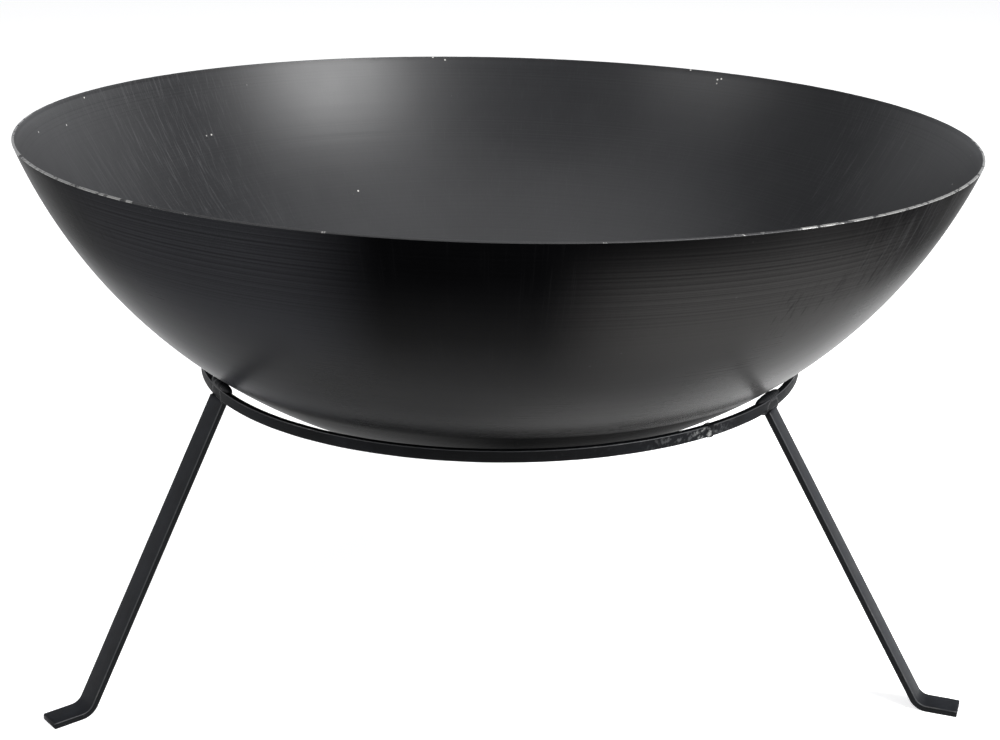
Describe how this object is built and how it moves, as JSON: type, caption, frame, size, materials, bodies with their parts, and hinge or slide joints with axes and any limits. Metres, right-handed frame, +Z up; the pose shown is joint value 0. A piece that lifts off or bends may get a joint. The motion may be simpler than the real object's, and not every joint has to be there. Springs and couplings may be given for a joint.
{
  "type": "fire bowl on ring stand",
  "caption": "Round open steel fire bowl lying loose in a flat-bar ring stand with splayed legs bent into flat feet; holds a wood or charcoal fire outdoors.",
  "frame": {"origin": "on the hoop's vertical axis, at the level of the soles", "axes": "+Z up; -Y towards the front, midway between two legs; +X to the right seen from the front; the third leg points to +Y"},
  "size_m": [0.7498, 0.7772, 0.4262],
  "materials": {
    "bowl_paint": "satin heat-resistant black paint on spun sheet, with fine spinning lines, light scratches and paint worn off along the cut rim",
    "stand_paint": "matt blue-black paint on rough-rolled flat bar, scuffed along the edges",
    "weld_paint": "matt black paint over rippled weld beads, with bright and rusty spots"
  },
  "bodies": {
    "stand": {"support_ring": "stand_paint", "ring_closing_weld": "weld_paint", "leg_front_left": "stand_paint", "leg_front_left_weld": "weld_paint", "leg_front_right": "stand_paint", "leg_front_right_weld": "weld_paint", "leg_back": "stand_paint", "leg_back_weld": "weld_paint"},
    "bowl": {"bowl": "bowl_paint"}
  },
  "joints": [
    {"name": "bowl_lift", "type": "slide", "parent": "stand", "child": "bowl", "axis": [0, 0, 1], "range_m": [0, 0.12]}
  ]
}
